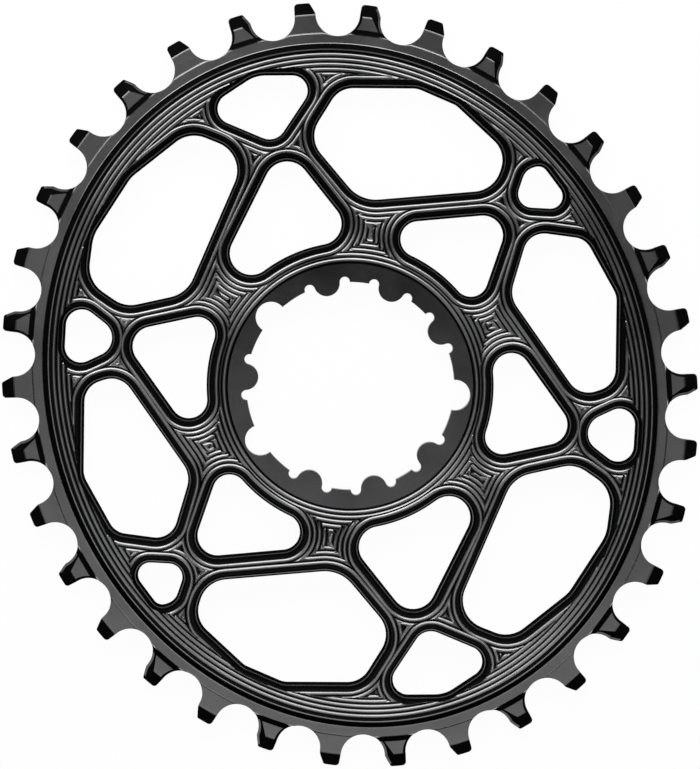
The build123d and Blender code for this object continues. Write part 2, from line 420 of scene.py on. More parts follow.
# Slopes between the tooth band and the web, front and back: depth inside the valley bottoms
# and height of each row
rim = {
    "front": [(1.3, 4.0), (1.37, 4.005), (1.44, 4.035), (1.5, 4.09), (1.56, 4.18), (2.22, 5.37),
              (2.34, 5.51), (2.4, 5.55)],
    "filletRows": 3,  # rows of the fillet at the front slope's foot
    "back": [(1.3, 0.0), (1.38, 0.03), (2.32, 1.15), (2.4, 1.2)],
}
rimAngle = np.arctan2(bandEdge[:, 1] / bandLong, bandEdge[:, 0] / bandShort)


# Oval rows of a slope: the rim's own angles at each depth and height of the profile.
def ovalRows(profile):
    rows = [lift(rootOval(inside, rimAngle), height) for inside, height in profile[1:]]
    return np.stack([lift(bandEdge, profile[0][1]), *rows])


rimRow = np.arange(len(rim["front"]) - 1)[:, None]
# Painted shade: the slopes are near black, but for the front fillet rows, which get the painted highlight
# colour
addGrid(ovalRows(rim["front"]), np.where(rimRow < rim["filletRows"], paintedHighlight, paintedShadeSlope), closed=True)
addGrid(ovalRows(rim["back"]), paintedShadeSlope, closed=True)
webInside = rim["front"][-1][0]
webShort, webLong = rootAxes(webInside)

# Windows: corners of the cells between the strut centre lines, for half of the ring, as
# bearing, share of the way from the hub ring to the web's edge, and corner radius
windows = {
    "hubRing": 28.1,
    "strutWidth": 4.7,
    "filletShare": 0.49,
    "spacing": 0.85,
    "sides": [
        [(104.3, 0.877, 5.7), (119.5, 0.923, 6.3), (133.1, 0.947, 7.6), (143.3, 0.886, 5.9),
         (146.9, 0.565, 5.7), (135.2, 0.182, 6.3), (93.2, 0.559, 5.8)],
        [(76.2, 0.859, 4.8), (86.0, 0.556, 5.3), (71.3, 0.149, 6.9), (33.3, 0.579, 5.6),
         (37.4, 0.878, 5.1), (51.8, 0.939, 3.3), (60.3, 0.937, 4.2)],
        [(27.5, 0.587, 4.1), (13.7, 0.171, 5.0), (-23.4, 0.516, 4.4), (-18.7, 0.845, 4.2),
         (1.5, 0.970, 4.3), (16.0, 0.927, 3.9)],
        [(90.0, 0.982, 6.5), (105.8, 0.930, 3.0), (90.1, 0.479, 3.3), (74.2, 0.927, 3.0)],
        [(33.1, 0.981, 2.0), (36.6, 0.810, 3.0), (31.9, 0.480, 2.7), (15.9, 0.983, 2.4)],
        [(-15.9, 0.992, 3.1), (-28.7, 0.365, 3.6), (-38.5, 1.013, 3.1)],
    ],
    # tip, then the feet counter-clockwise and clockwise of it, on the hub ring
    "hubs": [
        [(87.7, 0.666, 4.4), (136.4, 0.217, 4.2), (68.2, 0.092, 4.1)],
        [(29.1, 0.702, 3.9), (78.0, 0.135, 3.5), (11.6, 0.111, 3.3)],
        [(-30.5, 0.703, 3.9), (18.4, 0.167, 3.6), (-48.7, 0.099, 3.4)],
    ],
    # plan width and height of each row of a window's wall, from the back edge to the web
    "wall": [(0.0, 1.2), (0.05, 2.4), (0.36, 3.5), (0.4, 3.59), (0.58, 3.6), (0.62, 3.68),
             (0.88, 5.4), (0.95, 5.51), (1.0, 5.55)],
    "ledgeRow": 3,  # row of the wall that has the band's finish
}


# Strut corner: bearing and share to a point between the hub ring and the web's oval edge.
def cellCorner(bearing, share):
    way = spokes(math.radians(bearing))
    edge = 1 / math.hypot(way[0] / webShort, way[1] / webLong)
    return way * (windows["hubRing"] + share * (edge - windows["hubRing"]))


# Corners moved inwards by half a strut, along the two sides' normals.
def insetCorners(rows):
    corners = np.array([cellCorner(bearing, share) for bearing, share, _ in rows])
    way = np.roll(corners, -1, axis=0) - corners
    normal = leftOf(unit(way))
    before = np.roll(normal, 1, axis=0)
    amount = windows["strutWidth"] / 2 / (1 + (before * normal).sum(axis=1))
    return corners + (before + normal) * amount[:, None]


# Runs of a closed window with rounded corners: a line, then an arc at each corner.
def sideRuns(rows):
    corners = insetCorners(rows)
    arcs = []
    for index, (_, _, radius) in enumerate(rows):
        corner = corners[index]
        toLast = corners[index - 1] - corner
        toNext = corners[(index + 1) % len(corners)] - corner
        before, after = unit(toLast), unit(toNext)
        half = math.acos(np.clip(before @ after, -1, 1)) / 2
        room = windows["filletShare"] * min(np.hypot(*toLast), np.hypot(*toNext))
        radius = min(radius, room * math.tan(half))
        centre = corner + unit(before + after) * radius / math.sin(half)
        start = bearingOf(leftOf(before))
        arcs.append((centre, radius, start, start + math.pi - 2 * half))
    runs = []
    for last, arc in zip([arcs[-1], *arcs[:-1]], arcs):
        runs.append(("line", last[0] + last[1] * spokes(last[3]), arc[0] + arc[1] * spokes(arc[2])))
        runs.append(("arc", *arc))
    return runs


# Arc from a straight side onto the hub ring: centre on the side's offset line and on the
# circle one radius outside the ring.
def footArc(tip, foot, inwards, radius):
    way = unit(tip - foot)
    start = foot + inwards * radius
    along = start @ way
    reach = math.sqrt(along**2 - start @ start + (windows["hubRing"] + radius) ** 2)
    return start + way * (reach - along)


# Runs of a window that ends on the hub ring: two sides, the tip arc, two foot arcs, the ring.
def hubRuns(rows):
    tip, left, right = insetCorners(rows)
    tipRadius, leftRadius, rightRadius = (radius for _, _, radius in rows)
    toLeft, toRight = unit(left - tip), unit(right - tip)
    half = math.acos(np.clip(toLeft @ toRight, -1, 1)) / 2
    tipCentre = tip + unit(toLeft + toRight) * tipRadius / math.sin(half)
    inLeft, inRight = leftOf(toLeft), -leftOf(toRight)
    leftCentre = footArc(tip, left, inLeft, leftRadius)
    rightCentre = footArc(tip, right, inRight, rightRadius)
    tipStart = bearingOf(-inRight)
    tipEnd = turnTo(tipStart, bearingOf(-inLeft))
    leftEnd = turnTo(tipEnd, bearingOf(-leftCentre))
    rightStart = bearingOf(-rightCentre)
    rightEnd = turnTo(rightStart, tipStart)
    ringStart = bearingOf(leftCentre)
    ringEnd = ringStart - (ringStart - bearingOf(rightCentre)) % (2 * math.pi)
    return [
        ("line", rightCentre - inRight * rightRadius, tipCentre - inRight * tipRadius),
        ("arc", tipCentre, tipRadius, tipStart, tipEnd),
        ("line", tipCentre - inLeft * tipRadius, leftCentre - inLeft * leftRadius),
        ("arc", leftCentre, leftRadius, tipEnd, leftEnd),
        ("arc", np.zeros(2), windows["hubRing"], ringStart, ringEnd),
        ("arc", rightCentre, rightRadius, rightStart, rightEnd),
    ]


arcTurn = 0.16  # largest turn between two points of an arc
tolerance = 1e-5  # distance within which the triangulation joins points


# Points at even steps along a closed path of lines and arcs, with the normals that lie to
# the right of the way it runs.
def tracePath(runs, spacing):
    points, normals = [], []
    for run in runs:
        if run[0] == "line":
            start, end = run[1:]
            way = end - start
            count = max(1, math.ceil(np.hypot(*way) / spacing))
            points.append(start + np.arange(count)[:, None] / count * way)
            normals.append(np.tile(-leftOf(unit(way)), (count, 1)))
        else:
            centre, radius, first, last = run[1:]
            turn = abs(last - first)
            count = max(2, math.ceil(max(turn * radius / spacing, turn / arcTurn)))
            way = spokes(first + (last - first) * np.arange(count) / count)
            points.append(centre + radius * way)
            normals.append(way * math.copysign(1, last - first))
    return np.concatenate(points), np.concatenate(normals)


windowRuns = [sideRuns(rows) for rows in windows["sides"]] + [hubRuns(rows) for rows in windows["hubs"]]
windowLoops = [tracePath(runs, windows["spacing"]) for runs in windowRuns]
windowLoops += [(-points, -normals) for points, normals in windowLoops]
wall = windows["wall"]
# the window wall is near-black painted shade, but for its ledge row
wallFinish = np.where(np.arange(len(wall) - 1) == windows["ledgeRow"], satin, paintedShadeSlope)[:, None]
for points, normals in windowLoops:
    rows = [lift(points + normals * out, height) for out, height in wall]
    addGrid(np.stack(rows), wallFinish, closed=True)
print("windows:", len(windowLoops), "points round them:", sum(len(points) for points, _ in windowLoops))

# Hub plate with its splined bore
hub = {
    "plateFront": 5.0,
    "back": 1.2,
    "boreRadius": 20.3,
    "places": 10,
    "bearing": -22.0,
    "boltPlaces": (0, 4, 6),
    "bolt": (3.0, 20.5),  # radius, and distance of its centre from the axis
    "lobe": (2.55, 20.6),
    "relief": (1.0, 20.35),
    "reliefSwing": 9.92,
    "breakWidth": 0.08,
    "spacing": 0.45,
    "recessPoints": 240,
    "recess": [(23.9, 5.0), (23.95, 5.04), (24.1, 5.5), (24.18, 5.55)],
}


# Half of the angle over which a notch circle cuts the bore circle.
def notchAngle(radius, distance):
    bore = hub["boreRadius"]
    return math.acos((bore**2 + distance**2 - radius**2) / (2 * bore * distance))


# Runs of the bore: at each place a bolt notch, or a lobe between two relief notches that
# it meets smoothly, joined by arcs of the bore circle.
def boreRuns():
    bore = hub["boreRadius"]
    swing = math.radians(hub["reliefSwing"])
    reliefHalf = notchAngle(*hub["relief"])
    boltHalf = notchAngle(*hub["bolt"])
    runs, spans = [], []
    for place in range(hub["places"]):
        middle = math.radians(hub["bearing"] + place * 360 / hub["places"])
        if place in hub["boltPlaces"]:
            radius, distance = hub["bolt"]
            centre = distance * spokes(middle)
            enter = bearingOf(bore * spokes(middle - boltHalf) - centre)
            leave = bearingOf(bore * spokes(middle + boltHalf) - centre)
            spans.append((middle - boltHalf, middle + boltHalf))
            runs.append([("arc", centre, radius, enter, turnTo(enter, leave))])
            continue
        reliefRadius, reliefDistance = hub["relief"]
        lobeRadius, lobeDistance = hub["lobe"]
        lobe = lobeDistance * spokes(middle)
        before = reliefDistance * spokes(middle - swing)
        after = reliefDistance * spokes(middle + swing)
        share = reliefRadius / (reliefRadius + lobeRadius)
        touchBefore = before + (lobe - before) * share
        touchAfter = after + (lobe - after) * share
        enter = bearingOf(bore * spokes(middle - swing - reliefHalf) - before)
        leave = bearingOf(bore * spokes(middle + swing + reliefHalf) - after)
        lobeStart, lobeEnd = bearingOf(touchBefore - lobe), bearingOf(touchAfter - lobe)
        afterStart = bearingOf(touchAfter - after)
        spans.append((middle - swing - reliefHalf, middle + swing + reliefHalf))
        runs.append([
            ("arc", before, reliefRadius, enter, turnTo(enter, bearingOf(touchBefore - before))),
            ("arc", lobe, lobeRadius, lobeStart, lobeStart - (lobeStart - lobeEnd) % (2 * math.pi)),
            ("arc", after, reliefRadius, afterStart, turnTo(afterStart, leave)),
        ])
    path = []
    for index, notch in enumerate(runs):
        start = spans[index][1]
        end = spans[(index + 1) % len(spans)][0]
        path += notch
        path.append(("arc", np.zeros(2), bore, start, turnTo(start, end)))
    return path


borePoints, boreNormals = tracePath(boreRuns(), hub["spacing"])
boreRim = borePoints + boreNormals * hub["breakWidth"]
plateFront, plateBack, boreBreak = hub["plateFront"], hub["back"], hub["breakWidth"]
boreRows = [
    lift(boreRim, plateFront),
    lift(borePoints, plateFront - boreBreak),
    lift(borePoints, (plateFront + plateBack) / 2),
    lift(borePoints, plateBack + boreBreak),
    lift(boreRim, plateBack),
]
addGrid(np.stack(boreRows), satin, closed=True)
hubSpokes = spokes(np.arange(hub["recessPoints"]) / hub["recessPoints"] * 2 * math.pi)
recessRows = [lift(radius * hubSpokes, height) for radius, height in hub["recess"]]
# the recess wall round the hub plate is near-black painted shade
addGrid(np.stack(recessRows), paintedShadeSlope, closed=True)


# Which spots lie inside a closed loop: a level line from each crosses it an odd number of times.
def insideLoop(spots, loop):
    x, y = spots[:, :1], spots[:, 1:]
    x0, y0 = loop.T
    x1, y1 = np.roll(loop, -1, axis=0).T
    spans = (y0 > y) != (y1 > y)
    crossing = x0 + (y - y0) * (x1 - x0) / np.where(spans, y1 - y0, 1)
    return (spans & (x < crossing)).sum(axis=1) % 2 == 1


# Triangles between an outer loop and the holes in it. A triangle with all its corners on one
# loop is left out where its middle lies outside the outer loop or inside the hole.
def fillBetween(loops, rows, edges, loopOf):
    made = delaunay_2d_cdt(rows.tolist(), edges, [], 0, tolerance, True)
    points = np.array([tuple(point) for point in made[0]])
    faces = np.array(made[2])
    first = np.array([origin[0] if origin else len(rows) for origin in made[3]])
    given = first < len(rows)
    points[given] = rows[first[given]]  # its points come back rounded
    corner = np.append(loopOf, -1)[first][faces]
    single = np.where((corner == corner[:, :1]).all(axis=1), corner[:, 0], -1)
    wanted = np.ones(len(faces), bool)
    for number, loop in enumerate(loops):
        chosen = np.flatnonzero(single == number)
        inside = insideLoop(points[faces[chosen]].mean(axis=1), loop)
        wanted[chosen] = inside if number == 0 else ~inside
    return points, faces[wanted], first


# Pairs of neighbouring numbers round a closed loop.
def ringEdges(start, count):
    numbers = start + np.arange(count)
    return np.stack([numbers, np.roll(numbers, -1)], axis=1)


# Flat sheet at one height between an outer loop and the holes in it.
def addSheet(loops, height, finish):
    sizes = [len(loop) for loop in loops]
    starts = np.cumsum([0, *sizes])
    edges = np.concatenate([ringEdges(start, size) for start, size in zip(starts, sizes)])
    loopOf = np.repeat(np.arange(len(loops)), sizes)
    points, faces, _ = fillBetween(loops, np.concatenate(loops), edges.tolist(), loopOf)
    triangleBlocks.append(faces + nextPoint())
    triangleFinishes.append(np.full(len(faces), finish))
    pointBlocks.append(lift(points, height))


# the recessed hub plate gets a darker colour than the faces: painted shade
addSheet([hub["recess"][0][0] * hubSpokes, boreRim], plateFront, turnedPaintedShade)
backOval = rootOval(rim["back"][-1][0], rimAngle)
addSheet([backOval, boreRim, *[points for points, _ in windowLoops]], plateBack, satin)
print("hub: points round the bore:", len(borePoints))

# Contour ridges of the web's front: they follow every edge and meet in mitres
ridges = {
    "edgeHeight": 5.55,
    "crestHeight": 5.8,
    "lipHeight": 5.74,
    "pitch": 0.96,
    "roundness": 1.6,
    "steps": (0.0, 0.07, 0.16, 0.26, 0.4, 0.6, 0.74, 0.84, 0.93),
    "reach": 7.0,
    "clearance": 0.04,
    "lip": (0.22, 0.38, 0.5),  # start, end and foot of the thin lip inside the rim's edge
    "firstGroove": (0.82, 0.0, 0.45),  # from the edge of the rim, of the hub and of a window
    "rimLead": 2.9,  # how much farther from its edge the rim's ridges run than a window's
    "margin": 0.2,  # least distance from a window's edge at which the rim's ridges end
    "mitreParts": (0.1, 0.9),  # where a place may be added between two edge points
    "mitreStep": 0.04,  # least step between two places of a mitre line
    "mitreGap": 1.6,  # largest distance between joined points
}
slack, least = 1e-3, 1e-9  # a length that counts as nothing, and the least divisor
rimKind, hubKind, windowKind = 0, 1, 2
firstGroove = np.array(ridges["firstGroove"])


# Height of the web over the distance from an edge of one kind: low up to the first groove,
# but for the rim's lip, then rounded ridges that fall to a groove once each pitch.
def ridgeHeight(distance, kind):
    low, crest, lipTop = ridges["edgeHeight"], ridges["crestHeight"], ridges["lipHeight"]
    groove = firstGroove[kind]
    share = np.mod((distance - groove) / ridges["pitch"], 1)
    height = low + (crest - low) * (1 - np.abs(2 * share - 1) ** ridges["roundness"])
    lip = np.interp(distance, [0, *ridges["lip"]], [low, lipTop, lipTop, low])
    return np.where(distance < groove, np.where(kind == rimKind, lip, low), height)


ovalPoints = rootOval(webInside, rimAngle)
ovalNormals = -unit(np.stack([np.cos(rimAngle) / webShort, np.sin(rimAngle) / webLong], axis=1))
wallTop = wall[-1][0]
loops = [(ovalPoints, ovalNormals), (hub["recess"][-1][0] * hubSpokes, hubSpokes)]
loops += [(points + normals * wallTop, normals) for points, normals in windowLoops]
loopSizes = np.array([len(points) for points, _ in loops])
loopStarts = np.cumsum([0, *loopSizes[:-1]])
edgePoints = np.concatenate([points for points, _ in loops])
edgeNormals = np.concatenate([normals for _, normals in loops])
edgeLoop = np.repeat(np.arange(len(loops)), loopSizes)
edgeKind = np.minimum(edgeLoop, windowKind)
edgeNext = np.concatenate([ringEdges(start, size)[:, 1] for start, size in zip(loopStarts, loopSizes)])

# Reach of each edge point: the largest circle that touches the edge there and holds no
# other edge point has radius |gap| squared over twice the gap along the normal.
gaps = edgePoints[None, :, :] - edgePoints[:, None, :]
inwards = (gaps * edgeNormals[:, None, :]).sum(axis=2)
squares = (gaps**2).sum(axis=2)
radii = np.where(inwards > slack, squares / np.maximum(2 * inwards, least), np.inf)

# Where the rim meets a window, its ridges run on by the lead: the squared gap less the
# squared lead, over twice the gap along the normal less or plus the lead.
lead, margin = ridges["rimLead"], ridges["margin"]
rimEdge, windowEdge = np.flatnonzero(edgeKind == rimKind), np.flatnonzero(edgeKind == windowKind)
fromRim, fromWindow = np.ix_(rimEdge, windowEdge), np.ix_(windowEdge, rimEdge)
past = inwards[fromRim] - lead
rimRadii = np.maximum((squares[fromRim] - lead**2) / np.maximum(2 * past, least), lead + margin)
radii[fromRim] = np.where(past > slack, rimRadii, np.inf)
past = inwards[fromWindow] + lead
windowRadii = np.maximum((squares[fromWindow] - lead**2) / np.maximum(2 * past, least), margin)
radii[fromWindow] = np.where(past > slack, windowRadii, np.inf)

# Close to a window the rim's ridges end on its edge moved out by the margin: the rim's normal
# cuts that line where the crossed gap and side, over the crossed normal and side, gives.
outer = edgePoints + edgeNormals * margin
gap = outer[windowEdge][None] - edgePoints[rimEdge][:, None]
line = (outer[edgeNext] - outer)[windowEdge][None]
normal = edgeNormals[rimEdge][:, None]
across = crossed(normal, line)
across = np.where(np.abs(across) < least, least, across)
along, share = crossed(gap, line) / across, crossed(gap, normal) / across
cuts = (share > -slack) & (share < 1 + slack) & (along > 0) & (along < lead + margin)
radii[fromRim] = np.minimum(radii[fromRim], np.where(cuts, along, np.inf))
meets = radii.argmin(axis=1)
reach = radii.min(axis=1)
meetsLoop, meetsKind = edgeLoop[meets], edgeKind[meets]
led = (edgeKind == rimKind) & (meetsKind == windowKind)
metReach = np.where(led, np.maximum(reach - lead, margin), reach)  # from the edge it meets
print("ridges: widest reach", round(float(reach.max()), 2), "mm")

# Distances of the rows from each kind of edge: the edge, its lip, then the steps of each ridge
ridgeCount = math.ceil(ridges["reach"] / ridges["pitch"])
ridgeSteps = (np.arange(ridgeCount)[:, None] + np.array(ridges["steps"])).ravel() * ridges["pitch"]
lipRows = np.full((3, len(ridges["lip"])), np.nan)
lipRows[rimKind] = ridges["lip"]
rowTable = np.concatenate([np.zeros((3, 1)), lipRows, firstGroove[:, None] + ridgeSteps], axis=1)
rowTable[hubKind, 1 + len(ridges["lip"])] = np.nan  # the hub's first groove is its edge
rowPoints, rowHeights, rowLoops, rowEdges = [], [], [], []
total = 0
for row, byKind in enumerate(rowTable.T):
    distance = byKind[edgeKind]
    inside = reach > distance + ridges["clearance"]
    chosen = np.flatnonzero(inside)
    numbers = np.full(len(edgePoints), -1)
    numbers[chosen] = total + np.arange(len(chosen))
    rowPoints.append(edgePoints[chosen] + edgeNormals[chosen] * distance[chosen, None])
    rowHeights.append(ridgeHeight(distance[chosen], edgeKind[chosen]))
    rowLoops.append(edgeLoop[chosen] if row == 0 else np.full(len(chosen), -1))
    joined = chosen[inside[edgeNext[chosen]]]
    rowEdges.append(np.stack([numbers[joined], numbers[edgeNext[joined]]], axis=1))
    total += len(chosen)

# Mitre line where the ridges of two edges meet: each edge point's circle centre, and the
# places between two edge points at which a row of either edge runs out, on one of the edges.
own = edgeLoop < meetsLoop
ownPairs = own & own[edgeNext] & (meetsLoop == meetsLoop[edgeNext])
mitrePlace = [np.flatnonzero(own).astype(float)]
firstPart, lastPart = ridges["mitreParts"]
for kinds, here in ((edgeKind, reach), (meetsKind, metReach)):
    there = here[edgeNext]
    for kind, kindRows in enumerate(rowTable):
        for distance in kindRows[1:]:
            pairs = ownPairs & (kinds == kind) & ((here - distance) * (there - distance) < 0)
            crossing = np.flatnonzero(pairs)
            part = (distance - here[crossing]) / (there[crossing] - here[crossing])
            mitrePlace.append((crossing + part)[(part > firstPart) & (part < lastPart)])
mitrePlace = np.sort(np.concatenate(mitrePlace))
mitrePlace = mitrePlace[np.diff(mitrePlace, prepend=-1.0) > ridges["mitreStep"]]
below = np.floor(mitrePlace).astype(int)
part = mitrePlace - below
above = np.where(part > 0, edgeNext[below], below)
mitreDistance = reach[below] * (1 - part) + reach[above] * part
metDistance = metReach[below] * (1 - part) + metReach[above] * part
part = part[:, None]
foot = edgePoints[below] * (1 - part) + edgePoints[above] * part
way = edgeNormals[below] * (1 - part) + edgeNormals[above] * part
mitrePoints = foot + unit(way) * mitreDistance[:, None]
together = np.hypot(*(mitrePoints[1:] - mitrePoints[:-1]).T) < ridges["mitreGap"]
together &= np.diff(mitrePlace) <= 1 + slack
together &= edgeLoop[below[1:]] == edgeLoop[below[:-1]]
together &= meetsLoop[below[1:]] == meetsLoop[below[:-1]]
linked = np.flatnonzero(together)
rowEdges.append(total + np.stack([linked, linked + 1], axis=1))
rowPoints.append(mitrePoints)
ownHeight = ridgeHeight(mitreDistance, edgeKind[below])
metHeight = ridgeHeight(metDistance, meetsKind[below])
cutShort = led[below] & (metDistance < margin + slack)  # the rim's ridges end on the window's wall
rowHeights.append(np.where(cutShort, ownHeight, np.minimum(ownHeight, metHeight)))
rowLoops.append(np.full(len(mitrePoints), -1))
rowPoints, rowHeights = np.concatenate(rowPoints), np.concatenate(rowHeights)
rowLoops, rowEdges = np.concatenate(rowLoops), np.concatenate(rowEdges)
webPoints, webFaces, webOrigin = fillBetween([points for points, _ in loops], rowPoints,
                                               rowEdges.tolist(), rowLoops)
added = np.flatnonzero(webOrigin == len(rowPoints))
webHeights = np.append(rowHeights, 0.0)[webOrigin]
if len(added):
    away = np.sqrt(((webPoints[added, None] - edgePoints[None]) ** 2).sum(axis=2))
    nearest = (away - lead * (edgeKind == rimKind)).argmin(axis=1)
    webHeights[added] = ridgeHeight(away[np.arange(len(added)), nearest], edgeKind[nearest])
triangleBlocks.append(webFaces + nextPoint())
# the web's ridges get a painted sheen on the crests and painted shade in the grooves
triangleFinishes.append(np.full(len(webFaces), ridgedSheenAndGrooveShade))
pointBlocks.append(lift(webPoints, webHeights))
print("ridges:", len(webFaces), "triangles,", len(added), "points where rows cross")

# One mesh: points that share a place are joined, and the faces are turned outwards
allPoints = np.concatenate(pointBlocks)
_, kept, joinedTo = np.unique(np.round(allPoints, 3), axis=0, return_index=True, return_inverse=True)
joinedTo = joinedTo.ravel()
quads, triangles = joinedTo[np.concatenate(quadBlocks)], joinedTo[np.concatenate(triangleBlocks)]
sharpAngle = math.radians(22)  # an edge that bends more stays sharp
mesh = bpy.data.meshes.new("chainringBody")
mesh.from_pydata((allPoints[kept] * millimetre).tolist(), [], quads.tolist() + triangles.tolist())
finishes = np.concatenate(quadFinishes + triangleFinishes).astype(np.int32)
mesh.polygons.foreach_set("material_index", finishes)
mesh.validate()
shell = bmesh.new()
shell.from_mesh(mesh)
bmesh.ops.recalc_face_normals(shell, faces=shell.faces[:])
openEdges = sum(1 for edge in shell.edges if len(edge.link_faces) != 2)
print("mesh:", len(shell.verts), "points,", len(shell.faces), "faces, open edges", openEdges,
      "volume", round(shell.calc_volume(signed=True) / millimetre**3), "mm3")
shell.to_mesh(mesh)
shell.free()
mesh.polygons.foreach_set("use_smooth", np.ones(len(mesh.polygons), bool))
mesh.set_sharp_from_angle(angle=sharpAngle)


# Object with its data, linked into the scene.
def addObject(name, data):
    made = bpy.data.objects.new(name, data)
    bpy.context.scene.collection.objects.link(made)
    return made


ring = addObject("chainringBody", mesh)
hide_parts("chainring")
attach(ring, "root")

# Finishes, in the order of their numbers; the grain is its scale, spread of roughness and bump
anodised = {
    "satin": {"colour": (0.12, 0.12, 0.123), "rough": 0.34, "grain": (9000.0, 0.12, 0.25)},
    # painted sheen and shade: crests lighter than the faces, grooves darkened by their height
    "ridgedSheenAndGrooveShade": {"colour": (0.2, 0.2, 0.203), "rough": 0.3, "grain": (7000.0, 0.12, 0.25),
               "groove": (5.62, 5.74, 0.03)},  # heights between painted groove shade and crest colour, and the share of the colour left in the grooves
    # painted shade: bevels, walls and slopes of the same anodised metal get a near-black matt colour with
    # no shine
    "paintedShadeSlope": {"colour": (0.003, 0.003, 0.0032), "rough": 0.5, "grain": (6000.0, 0.15, 0.3), "matt": True},
    # painted shade: the hub plate is the same metal, given a darker colour than the faces, with lower
    # roughness
    "turnedPaintedShade": {"colour": (0.07, 0.07, 0.072), "rough": 0.2, "grain": (8000.0, 0.12, 0.25)},
    # painted highlight: a lighter colour that draws the thin light lines on the tooth shoulders and the
    # slope's foot fillet
    "paintedHighlight": {"colour": (0.22, 0.22, 0.223), "rough": 0.28, "grain": (7000.0, 0.12, 0.25)},
}
grainLook = {
    "fineDetail": 3.0,
    "cloudScale": 90.0,
    "cloudDetail": 4.0,
    "cloudStops": ((0.3, 0.8), (0.7, 1.2)),  # place on the cloud's ramp, and share of the colour
    "bumpDistance": 0.00002,
}


# Gives inputs of a node their values.
def setInputs(node, **values):
    for name, value in values.items():
        node.inputs[name].default_value = value


# Math node of a tree: each value is a number or the output that gives it.
def mathNode(tree, operation, *values):
    node = tree.nodes.new("ShaderNodeMath")
    node.operation = operation
    for socket, value in zip(node.inputs, values):
        if isinstance(value, float):
            socket.default_value = value
        else:
            tree.links.new(value, socket)
    return node.outputs[0]


# Fine machining grain as a node group: two noises at different scales, added for roughness.
def grainGroup():
    group = bpy.data.node_groups.new("machiningGrain", "ShaderNodeTree")
    sides = {"INPUT": ("Scale", "Rough", "Spread"), "OUTPUT": ("Roughness", "Height", "Cloud")}
    for side, names in sides.items():
        for name in names:
            group.interface.new_socket(name, in_out=side, socket_type="NodeSocketFloat")
    nodes, links = group.nodes, group.links
    entry, leave = nodes.new("NodeGroupInput"), nodes.new("NodeGroupOutput")
    place = nodes.new("ShaderNodeTexCoord")
    fine, cloud = nodes.new("ShaderNodeTexNoise"), nodes.new("ShaderNodeTexNoise")
    setInputs(fine, Detail=grainLook["fineDetail"])
    setInputs(cloud, Scale=grainLook["cloudScale"], Detail=grainLook["cloudDetail"])
    for noise in (fine, cloud):
        links.new(place.outputs["Object"], noise.inputs["Vector"])
    links.new(entry.outputs["Scale"], fine.inputs["Scale"])
    both = mathNode(group, "ADD", fine.outputs["Fac"], cloud.outputs["Fac"])
    centred = mathNode(group, "SUBTRACT", both, 1.0)
    rough = mathNode(group, "MULTIPLY_ADD", centred, entry.outputs["Spread"], entry.outputs["Rough"])
    links.new(rough, leave.inputs["Roughness"])
    links.new(fine.outputs["Fac"], leave.inputs["Height"])
    links.new(cloud.outputs["Fac"], leave.inputs["Cloud"])
    return group


grain = grainGroup()


# Anodised finish: dark base with a slow cloud in its colour, grain in roughness and bump; painted groove
# shade by height where given.
def anodisedMaterial(name, settings):
    scale, spread, bump = settings["grain"]
    material = bpy.data.materials.new(name)
    material.use_nodes = True
    nodes, links = material.node_tree.nodes, material.node_tree.links
    shader = nodes["Principled BSDF"]
    metal, specular = (0.0, 0.0) if "matt" in settings else (1.0, 0.5)
    setInputs(shader, **{"Metallic": metal, "Specular IOR Level": specular})
    texture = nodes.new("ShaderNodeGroup")
    texture.node_tree = grain
    setInputs(texture, Scale=scale, Rough=settings["rough"], Spread=spread)
    ramp = nodes.new("ShaderNodeValToRGB")
    colour = np.array(settings["colour"])
    for stop, (position, share) in zip(ramp.color_ramp.elements, grainLook["cloudStops"]):
        stop.position = position
        stop.color = (*(colour * share), 1)
    links.new(texture.outputs["Cloud"], ramp.inputs["Fac"])
    # painted shade: the colour falls with height to a small share of itself in the grooves
    if "groove" in settings:
        low, high, share = settings["groove"]
        place, split = nodes.new("ShaderNodeTexCoord"), nodes.new("ShaderNodeSeparateXYZ")
        grooveShadeRamp, grooveShadeMix = nodes.new("ShaderNodeMapRange"), nodes.new("ShaderNodeMix")
        grooveShadeRamp.interpolation_type = "SMOOTHSTEP"
        grooveShadeRamp.inputs["From Min"].default_value = low * millimetre
        grooveShadeRamp.inputs["From Max"].default_value = high * millimetre
        grooveShadeMix.data_type = "RGBA"
        grooveShadeMix.inputs[6].default_value = (*(colour * share), 1)  # 6 and 7 are its two colours
        links.new(place.outputs["Object"], split.inputs["Vector"])
        links.new(split.outputs["Z"], grooveShadeRamp.inputs["Value"])
        links.new(grooveShadeRamp.outputs["Result"], grooveShadeMix.inputs["Factor"])
        links.new(ramp.outputs["Color"], grooveShadeMix.inputs[7])
        links.new(grooveShadeMix.outputs[2], shader.inputs["Base Color"])
    else:
        links.new(ramp.outputs["Color"], shader.inputs["Base Color"])
    links.new(texture.outputs["Roughness"], shader.inputs["Roughness"])
    relief = nodes.new("ShaderNodeBump")
    setInputs(relief, Strength=bump, Distance=grainLook["bumpDistance"])
    links.new(texture.outputs["Height"], relief.inputs["Height"])
    links.new(relief.outputs["Normal"], shader.inputs["Normal"])
    return material


for finish, settings in anodised.items():
    mesh.materials.append(anodisedMaterial(finish + "Black", settings))
print("finishes:", [material.name for material in mesh.materials])

